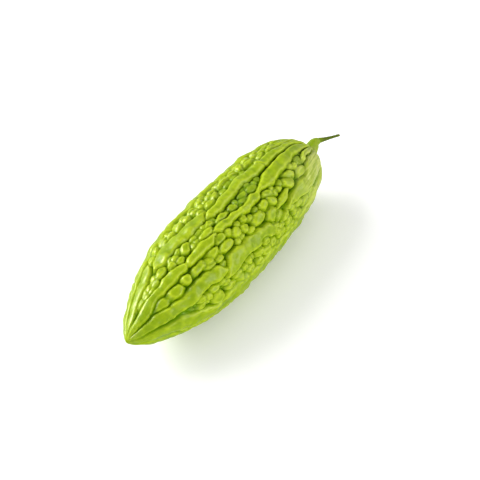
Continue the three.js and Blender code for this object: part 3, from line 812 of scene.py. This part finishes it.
class Shader:
    """The node tree of a material or of the world, built from expressions."""

    def __init__(self, owner: Owner) -> None:
        """Takes over the tree of its owner.

        Args:
            owner: the material or world, whose nodes are all removed.
        """
        owner.use_nodes = True
        self.owner = owner
        self.tree = owner.node_tree
        self.tree.nodes.clear()

    def node(
        self, kind: str, settings: dict[str, object], inputs: dict[Union[str, int], Feed]
    ) -> bpy.types.Node:
        """Adds a node.

        Args:
            kind: the node's type, without the ShaderNode in front.
            settings: its properties, set first.
            inputs: values or links for its sockets, by name or number.

        Returns:
            The node.
        """
        made = self.tree.nodes.new("ShaderNode" + kind)
        for label, value in settings.items():
            setattr(made, label, value)
        for label, value in inputs.items():
            socket = made.inputs[label]
            if isinstance(value, Value):
                value = value.socket
            if isinstance(value, bpy.types.NodeSocket):
                self.tree.links.new(value, socket)
            elif isinstance(value, tuple) and len(socket.default_value) == 4:
                socket.default_value = (*value, 1.0)
            else:
                socket.default_value = value
        return made

    def maths(self, operation: str, *values: Feed) -> Value:
        """One Math node."""
        made = self.node("Math", {"operation": operation}, dict(enumerate(values)))
        return Value(self, made.outputs[0])

    def attribute(self, name: str, output: str = "Fac") -> Value:
        """A number that the mesh carries, or with output Vector three of them."""
        made = self.node("Attribute", {"attribute_name": name}, {})
        return Value(self, made.outputs[output])

    def place(self, stretch: Colour = (1, 1, 1)) -> bpy.types.NodeSocket:
        """Where each point is, for noise.

        Args:
            stretch: what each axis is multiplied by.

        Returns:
            Object coordinates in metres, stretched.
        """
        coordinates = self.node("TexCoord", {}, {})
        made = self.node("Mapping", {}, {"Vector": coordinates.outputs["Object"], "Scale": stretch})
        return made.outputs["Vector"]

    def noise(self, size: float, detail: float = 2.0, where: Optional[Feed] = None) -> Value:
        """Noise from 0 to 1.

        Args:
            size: how large its blotches are, in mm.
            detail: how many finer layers it has.
            where: coordinates in metres that it reads, the object's own unless others are given.

        Returns:
            The noise.
        """
        where = where or self.place()
        inputs = {"Vector": where, "Scale": 1 / (size * MM), "Detail": detail, "Roughness": 0.55}
        made = self.node("TexNoise", {"noise_dimensions": "3D"}, inputs)
        return Value(self, made.outputs["Fac"])

    def between(self, value: Feed, low: float, high: float) -> Value:
        """Rises smoothly from 0 to 1 as a number grows.

        Args:
            value: the number.
            low: where the rise starts.
            high: where it ends.

        Returns:
            The share.
        """
        inputs = {"Value": value, "From Min": low, "From Max": high}
        made = self.node("MapRange", {"interpolation_type": "SMOOTHSTEP"}, inputs)
        return Value(self, made.outputs["Result"])

    def blend(self, share: Feed, first: Feed, second: Feed) -> bpy.types.NodeSocket:
        """Mixes two colours."""
        made = self.node("Mix", {"data_type": "RGBA"}, {0: share, 6: first, 7: second})
        return made.outputs[2]

    def bump(
        self, height: Value, depth: float, below: Optional[bpy.types.NodeSocket] = None
    ) -> bpy.types.NodeSocket:
        """Turns a height into a bump.

        Args:
            height: from 0 to 1.
            depth: how high 1 stands above 0, in mm.
            below: another normal that the bump lies on.

        Returns:
            The bumped normal.
        """
        inputs = {"Height": height, "Distance": depth * MM, "Strength": 1.0}
        if below is not None:
            inputs["Normal"] = below
        return self.node("Bump", {}, inputs).outputs["Normal"]

    def principled(self, inputs: dict[str, Feed]) -> Owner:
        """Ends the tree in one Principled shader and returns its owner."""
        return self.finish("OutputMaterial", self.node("BsdfPrincipled", {}, inputs).outputs["BSDF"])

    def finish(self, kind: str, surface: bpy.types.NodeSocket) -> Owner:
        """Connects the surface to an output node of a kind and returns the tree's owner."""
        self.node(kind, {}, {"Surface": surface})
        return self.owner


def srgb(red: int, green: int, blue: int) -> Colour:
    """A display colour, as the linear numbers that shaders take.

    Args:
        red: its red, from 0 to 255.
        green: its green.
        blue: its blue.

    Returns:
        The three linear numbers, from 0 to 1.
    """

    def linear(level: int) -> float:
        """One channel of the usual sRGB curve."""
        share = level / 255
        return share / 12.92 if share <= 0.04045 else ((share + 0.055) / 1.055) ** 2.4

    return (linear(red), linear(green), linear(blue))


# ------------------------------------------------------------------ finishes
@dataclass(frozen=True)
class WaxySkin:
    """The fruit's skin: lime green, paler on the shoulder, with painted highlights on crests and rims,
    painted shade in the creases, and low ground darker, partly painted shade.
    """

    flesh: Colour = srgb(153, 180, 0)
    # painted highlight: the paler colour of bulging crests
    crest: Colour = srgb(166, 191, 8)
    # painted highlight: a pale line along the edges of lumps
    rim: Colour = srgb(206, 226, 46)
    # darker green of low ground: partly the skin's own colour, partly painted shade
    valley: Colour = srgb(86, 138, 2)
    # painted shade: the deep green laid into the creases
    crease_shade: Colour = srgb(66, 104, 0)
    pale: Colour = srgb(212, 222, 112)
    leaf: Colour = srgb(136, 167, 0)
    crest_share: float = 0.8
    rim_share: float = 0.6
    valley_share: float = 0.75
    roughness: float = 0.4
    wax: float = 0.4
    wax_in_creases: float = 0.04
    wax_roughness: float = 0.3
    patch_size: float = 11.0
    ripple_size: float = 3.5
    ripple_depth: float = 0.3
    streak_size: float = 1.6
    streak_depth: float = 0.5

    def material(self) -> bpy.types.Material:
        """Builds the material from the marks that the mesh carries and from noise.

        Returns:
            The material.
        """
        make = Shader(bpy.data.materials.new("waxy_skin"))
        crease_shade = make.attribute("crease_shade")
        paleness = make.attribute("pale")
        patches = make.between(make.noise(self.patch_size, 4), 0.4, 0.62)
        streaks = make.noise(self.streak_size, 3, make.attribute("grain", "Vector"))
        flecks = make.between(streaks, 0.42, 0.6)
        colour = make.blend(patches, self.flesh, self.leaf)
        # painted highlight: paler where the skin bulges above its blurred self
        colour = make.blend(self.crest_share * make.attribute("crest"), colour, self.crest)
        # painted highlight: a thin pale line along the edges of lumps
        colour = make.blend(self.rim_share * make.attribute("rim"), colour, self.rim)
        colour = make.blend(make.between(paleness, 0, 1) * (0.3 + 0.7 * flecks), colour, self.pale)
        # low ground is darker green, partly its own colour and partly painted shade
        low_ground = make.between(make.attribute("low"), 0.3, 0.8)
        colour = make.blend(self.valley_share * low_ground, colour, self.valley)
        # painted shade: deep green in the creases
        colour = make.blend(make.between(crease_shade, 0.3, 1.0), colour, self.crease_shade)
        lost_wax = (self.wax - self.wax_in_creases) * make.between(crease_shade, 0.1, 0.5)
        ripples = make.bump(make.noise(self.ripple_size, 3), self.ripple_depth)
        return make.principled(
            {
                "Base Color": colour,
                "Roughness": self.roughness + 0.12 * make.noise(5, 3) + 0.15 * crease_shade,
                "IOR": 1.42,
                "Specular IOR Level": 0.02,
                "Coat Weight": self.wax - lost_wax,
                "Coat Roughness": self.wax_roughness,
                "Normal": make.bump(streaks * (0.25 + 0.75 * paleness), self.streak_depth, ripples),
            }
        )


@dataclass(frozen=True)
class StalkBark:
    """The stalk: olive and faintly grooved, greener at its root and drier at the cut."""

    root: Colour = srgb(122, 150, 12)
    rind: Colour = srgb(86, 106, 14)
    dry: Colour = srgb(112, 118, 40)
    roughness: float = 0.55
    fibre_size: float = 0.8
    fibre_depth: float = 0.08

    def material(self) -> bpy.types.Material:
        """Builds the material from the share of the way along the stalk and from fibrous noise.

        Returns:
            The material.
        """
        make = Shader(bpy.data.materials.new("stalk_bark"))
        along = make.attribute("along")
        fibres = make.noise(self.fibre_size, 3, make.place((0.2, 1, 1)))
        colour = make.blend(make.between(along, 0.0, 0.25), self.root, self.rind)
        colour = make.blend(make.between(along, 0.9, 1.0), colour, self.dry)
        colour = make.blend(0.35 * make.between(fibres, 0.45, 0.7), colour, self.dry)
        return make.principled(
            {
                "Base Color": colour,
                "Roughness": self.roughness + 0.1 * fibres,
                "Specular IOR Level": 0.15,
                "Subsurface Weight": 0.1,
                "Subsurface Radius": (1.0, 1.0, 0.3),
                "Subsurface Scale": 0.001,
                "Normal": make.bump(fibres, self.fibre_depth),
            }
        )


@dataclass(frozen=True)
class PaleTable:
    """The surface underneath: white to the camera, with the soft shadow kept.

    The lift is the light of its own with which it meets the camera, and the mirrored lift the same in
    reflections. Ambient occlusion dims the lift on the ground nearer the fruit than hidden_within, in
    metres: a painted contact shadow.
    """

    tone: Colour = srgb(245, 245, 245)
    lift: float = 0.42
    hidden_within: float = 0.07
    mirrored_lift: float = 0.1

    def material(self) -> bpy.types.Material:
        """A matt white whose direct view, and view in a reflection, gets a little light of its own.

        That glow is dimmed by ambient occlusion near the fruit, which paints a contact shadow on the table.

        Returns:
            The material.
        """
        make = Shader(bpy.data.materials.new("pale_table"))
        paint = {"Base Color": self.tone, "Roughness": 0.9, "Specular IOR Level": 0.1}
        matt = make.node("BsdfPrincipled", {}, paint)
        rays = make.node("LightPath", {}, {}).outputs
        room = make.node("AmbientOcclusion", {"samples": 8}, {"Distance": self.hidden_within})
        seen = self.lift * make.maths("MAXIMUM", rays["Is Camera Ray"], rays["Is Transmission Ray"])
        # painted contact shadow: the camera's glow is dimmed by ambient occlusion near the fruit
        seen = seen * Value(make, room.outputs["AO"])
        mirrored = self.mirrored_lift * Value(make, rays["Is Glossy Ray"])
        glow = make.node("Emission", {}, {"Color": (1.0, 1.0, 1.0), "Strength": seen + mirrored})
        both = make.node("AddShader", {}, {0: matt.outputs["BSDF"], 1: glow.outputs["Emission"]})
        return make.finish("OutputMaterial", both.outputs["Shader"])


# ------------------------------------------------------------------ the pieces
@dataclass(frozen=True)
class Placement:
    """Moves points from the fruit's own axes in millimetres to the frame's in metres."""

    shift: Array

    def __call__(self, points: Array) -> Array:
        """Points in the frame."""
        return points * MM + self.shift


@dataclass
class Stalk:
    """The thin stalk on which the fruit hung, cut off short.

    Its measures are in mm, and the twist of its ribs in degrees for each mm.
    """

    body: Body
    start: float = 198.95
    end: float = 212.4
    root_radius: float = 1.8
    cut_radius: float = 0.8
    taper_power: float = 2.5
    ribs: int = 5
    rib_height: float = 0.07
    rib_twist: float = 4.0
    bumps: Knots = ((0.04, 3.5, 2),)
    hidden: float = 1.2
    cut_shares: tuple[float, ...] = (0.93, 0.6, 0.3)
    rings: int = 90
    columns: int = 40

    def taper(self, x: Array) -> Array:
        """Radius along the stalk: it shrinks from its root to the cut, fast at first."""
        left = np.clip((self.end - x) / (self.end - self.start), 0, 1)
        return self.cut_radius + (self.root_radius - self.cut_radius) * left**self.taper_power

    def rod(self, x: Array, columns: int) -> Array:
        """Rings of a plain round rod along the stalk, in mm."""
        places, angles = np.meshgrid(x, np.arange(columns) * 360 / columns, indexing="ij")
        return self.body.on_section(places, angles, self.taper(places))

    def placement(self) -> Placement:
        """Lays the fruit's own axes on the frame, by the box that the stalk has in it.

        Returns:
            The placement that brings the middle of a plain rod's box to the middle of the frame's.
        """
        rod = self.rod(np.linspace(self.start, self.end, 40), 24).reshape(-1, 3)
        low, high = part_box("stem")
        middle = (np.array(low) + np.array(high)) / 2
        return Placement(middle - (rod.min(axis=0) + rod.max(axis=0)) / 2 * MM)

    def build(self, place: Placement) -> bpy.types.Object:
        """Makes the stalk: a ribbed rod, rooted a little inside the neck, with a flat cut end.

        The radius is the taper times (1 + a slight unevenness), plus the height of winding ribs. The last
        rings draw in to the middle of the cut.

        Args:
            place: brings the fruit's axes to the frame.

        Returns:
            The piece.
        """
        along = np.linspace(self.start - self.hidden, self.end, self.rings)
        x, angle = np.meshgrid(along, np.arange(self.columns) * 360 / self.columns, indexing="ij")
        winding = self.ribs * angle + self.rib_twist * (x - self.start)
        ribs = self.rib_height * np.cos(np.radians(winding))
        points = self.body.on_section(x, angle, np.ones(x.shape))
        radius = self.taper(x) * (1 + unevenness(points, self.bumps)) + ribs
        radius = np.minimum(radius, self.root_radius)
        rings = self.body.on_section(x, angle, radius)
        cut_middle = self.body.middle(np.array(self.end))
        cut = drawn_in(rings[-1], cut_middle, self.cut_shares)
        share_along = np.clip((x - self.start) / (self.end - self.start), 0, 1)
        attributes = {"along": np.vstack([share_along, np.ones((len(cut), self.columns))])}
        root = self.body.middle(np.array(along[0]))
        points = place(np.concatenate([rings, cut]))
        return closed_mesh("cut_stalk", points, place(root), place(cut_middle), attributes)

    def dress(self, piece: bpy.types.Object) -> None:
        """Gives the stalk its bark and its place in the frame.

        Args:
            piece: the stalk that build made.
        """
        piece.data.materials.append(StalkBark().material())
        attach(piece, "root")
        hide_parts("stem")


@dataclass
class Fruit:
    """The ridged and warty fruit, from the blossom tip to the end of its fleshy neck.

    Heights and depths are in mm. A blur is how often the relief is smoothed before it is compared.
    """

    body: Body
    relief: Relief
    rings: int = 338
    columns: int = 290
    dimples: Knots = ((0.7, 15, 5), (0.35, 8.5, 6), (0.12, 4.5, 3))
    crease_depth: float = 1.8
    crease_blur: int = 14
    rim_height: float = 0.26
    rim_blur: int = 3
    low_blur: int = 10
    shallowest: float = 0.4
    grain_length: float = 0.12
    grain_radius: float = 30.0
    pale_angle: float = 162.0
    pale_from: Range = (120.0, 180.0)
    pale_until: Range = (195.0, 184.0)
    closing_shares: tuple[float, ...] = (0.85, 0.6, 0.3)

    def ring_places(self) -> Array:
        """Finds where the rings stand: equally far apart along the outline.

        Returns:
            Their places in mm, without the blossom tip's own.
        """
        x = self.body.neck_end * np.linspace(0, 1, 4000) ** 2
        steps = np.hypot(np.diff(x), np.diff(self.body.radius(x)))
        walked = np.concatenate([[0], np.cumsum(steps)])
        return np.interp(np.linspace(0, walked[-1], self.rings + 1)[1:], walked, x)

    def marks(self, x: Array, angle: Array, height: Array, skin: Array) -> dict[str, Array]:
        """Works out the numbers from which the finish colours the skin.

        Creases lie below the blurred skin, and crests above it; the finish paints shade in the creases and
        highlights on the crests. Rims stand above a skin that is blurred less, and get a painted highlight.
        Low ground is where the blurred relief is far below the ridges; its darker green is partly painted
        shade. The shoulder of the near side is pale. The grain holds places whose length is shortened, so
        that noise on it makes long streaks.

        Args:
            x: places along the fruit, in mm.
            angle: degrees about the middle line.
            height: of the relief, in mm.
            skin: the same with the dimples.

        Returns:
            The numbers by name, each from 0 to 1, and the grain's vectors.
        """
        depth = self.body.relief_depth(x, self.body.radius(x))
        scale = np.maximum(depth, self.shallowest)
        hollow = (blurred(skin, self.crease_blur) - skin) / (self.crease_depth * scale)
        rim = (skin - blurred(skin, self.rim_blur)) / (self.rim_height * scale)
        low = 1 - blurred(height, self.low_blur) / (self.relief.ridge_height * depth)
        turn = np.radians(angle)
        across = self.grain_radius * np.cos(turn), self.grain_radius * np.sin(turn)
        facing = smooth_step(np.cos(turn - math.radians(self.pale_angle)), 0.3, 1)
        return {
            # the low, crease, crest and rim masks place painted shade and painted highlights
            "low": np.clip(low, 0, 1),
            "crease_shade": np.clip(hollow, 0, 1),
            "crest": np.clip(-hollow, 0, 1),
            "rim": np.clip(rim, 0, 1),
            "grain": np.stack([self.grain_length * x, *across], axis=-1) * MM,
            "pale": smooth_step(x, *self.pale_from) * smooth_step(x, *self.pale_until) * facing,
        }

    def build(self, place: Placement) -> bpy.types.Object:
        """Makes the fruit.

        A skin point lies at the outline's radius, less the depth of the relief, plus its height there,
        plus dimples of a fraction of a millimetre. Points under the table are lifted onto it. The neck's
        last rings draw in round the stalk.

        Args:
            place: brings the fruit's axes to the frame.

        Returns:
            The piece.
        """
        turns = np.arange(self.columns) * 360 / self.columns
        x, angle = np.meshgrid(self.ring_places(), turns, indexing="ij")
        height = self.relief.height(x, angle)
        envelope = self.body.radius(x)
        depth = self.body.relief_depth(x, envelope)
        skin = height + depth * unevenness(self.body.on_section(x, angle, envelope), self.dimples)
        radius = envelope - self.relief.ridge_height * depth + skin
        rings = self.body.on_section(x, angle, radius)
        end_middle = self.body.middle(np.array(self.body.neck_end))
        closing = drawn_in(rings[-1], end_middle, self.closing_shares)
        points = place(np.concatenate([rings, closing]))
        points[..., 2] = np.maximum(points[..., 2], 0)
        attributes = {
            name: np.vstack([values, np.repeat(values[-1:], len(closing), axis=0)])
            for name, values in self.marks(x, angle, height, skin).items()
        }
        tip = self.body.middle(np.array(0.0))
        return closed_mesh("melon_fruit", points, place(tip), place(end_middle), attributes)

    def dress(self, piece: bpy.types.Object) -> None:
        """Gives the fruit its skin and its place in the frame.

        Args:
            piece: the fruit that build made.
        """
        piece.data.materials.append(WaxySkin().material())
        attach(piece, "root")
        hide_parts("fruit")


# ------------------------------------------------------------------ the studio
class Role(Enum):
    """What a lamp is for: the first three light the fruit, and sheen only shows in its wax."""

    KEY = "key"
    FILL = "fill"
    FRONT = "front"
    SHEEN = "sheen"


@dataclass(frozen=True)
class SoftBox:
    """A square lamp aimed at the fruit: its compass direction, height angle, distance, size and watts.

    A sheen lamp has the warm colour and casts no light on matt surfaces.
    """

    role: Role
    azimuth: float
    elevation: float
    distance: float
    size: float
    watts: float
    warm: Colour = (1.0, 0.98, 0.62)

    def build(self, target: Vector) -> None:
        """Hangs the lamp at its place and turns it to the target.

        Args:
            target: the place at which it is aimed, in metres.
        """
        lamp = bpy.data.lights.new(f"{self.role.value}_lamp", "AREA")
        lamp.size = self.size
        lamp.energy = self.watts
        holder = bpy.data.objects.new(lamp.name, lamp)
        away = direction(self.azimuth, self.elevation)
        holder.location = target + away * self.distance
        holder.rotation_euler = away.to_track_quat("Z", "Y").to_euler()
        if self.role is Role.SHEEN:
            lamp.color = self.warm
            holder.visible_diffuse = False
        bpy.context.scene.collection.objects.link(holder)


def direction(azimuth: float, elevation: float) -> Vector:
    """The way from the object to its viewer, who looks along +Y at azimuth 0 and down at elevation 90."""
    turn, rise = math.radians(azimuth), math.radians(elevation)
    return Vector((math.sin(turn) * math.cos(rise), -math.cos(turn) * math.cos(rise), math.sin(rise)))


@dataclass
class Studio:
    """The table, the lamps, the white surroundings and the camera.

    Distances are in metres, but the place that the camera aims at is in the fruit's own axes, in mm.
    """

    azimuth: float = -55.1
    elevation: float = 47.0
    distance: float = 0.68
    aim: tuple[float, float, float] = (99.4, -9.06, 0.0)
    lens: float = 85.0
    table_size: float = 6.0
    surroundings: float = 0.2
    lamps: tuple[SoftBox, ...] = (
        SoftBox(Role.KEY, -163.0, 35.0, 0.9, 0.7, 9.7),
        SoftBox(Role.FILL, 12.0, 20.0, 0.9, 0.5, 4.6),
        SoftBox(Role.FRONT, -70.0, 20.0, 0.9, 0.5, 2.0),
        SoftBox(Role.SHEEN, 50.0, 27.0, 0.9, 0.4, 4.0),
        SoftBox(Role.SHEEN, -152.0, 31.0, 0.9, 0.4, 22.0),
    )

    def build_table(self) -> None:
        """Lays a large pale sheet at the height on which the fruit lies."""
        half = self.table_size / 2
        corners = [(-half, -half, 0), (half, -half, 0), (half, half, 0), (-half, half, 0)]
        mesh = bpy.data.meshes.new("table")
        mesh.from_pydata(corners, [], [(0, 1, 2, 3)])
        table = bpy.data.objects.new("table", mesh)
        table.data.materials.append(PaleTable().material())
        bpy.context.scene.collection.objects.link(table)

    def build_surroundings(self) -> None:
        """Lights the scene evenly from all round, and shows as plain white."""
        make = Shader(bpy.data.worlds.new("white_room"))
        rays = make.node("LightPath", {}, {}).outputs
        mirrored = make.maths("MAXIMUM", rays["Is Glossy Ray"], rays["Is Transmission Ray"])
        seen = make.maths("MAXIMUM", rays["Is Camera Ray"], mirrored)
        strength = self.surroundings + (1 - self.surroundings) * seen
        background = make.node("Background", {}, {"Color": (1.0, 1.0, 1.0), "Strength": strength})
        bpy.context.scene.world = make.finish("OutputWorld", background.outputs["Background"])

    def build_camera(self, target: Vector) -> None:
        """Sets the camera at its viewing angle.

        Args:
            target: the place at which it is aimed, in metres.
        """
        data = bpy.data.cameras.new("camera")
        data.lens = self.lens
        data.sensor_width = 36.0
        camera = bpy.data.objects.new("camera", data)
        away = direction(self.azimuth, self.elevation)
        camera.location = target + away * self.distance
        camera.rotation_euler = away.to_track_quat("Z", "Y").to_euler()
        bpy.context.scene.collection.objects.link(camera)
        bpy.context.scene.camera = camera

    def build(self, place: Placement) -> None:
        """Builds the whole studio round the fruit.

        Args:
            place: brings the fruit's axes to the frame.
        """
        target = Vector(place(np.array(self.aim)))
        self.build_table()
        self.build_surroundings()
        self.build_camera(target)
        for lamp in self.lamps:
            lamp.build(target)
        bpy.context.scene.view_settings.view_transform = "Standard"


def main() -> None:
    """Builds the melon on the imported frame."""
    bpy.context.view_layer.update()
    body = Body()
    stalk = Stalk(body)
    place = stalk.placement()
    log.info("middle line starts at %s m", np.round(place(np.zeros(3)), 5).tolist())
    for part in (Fruit(body, Relief(body)), stalk):
        piece = part.build(place)
        part.dress(piece)
        log.info("%s: %d faces, rides on the root body", piece.name, len(piece.data.polygons))
    Studio().build(place)


if __name__ == "__main__":
    main()
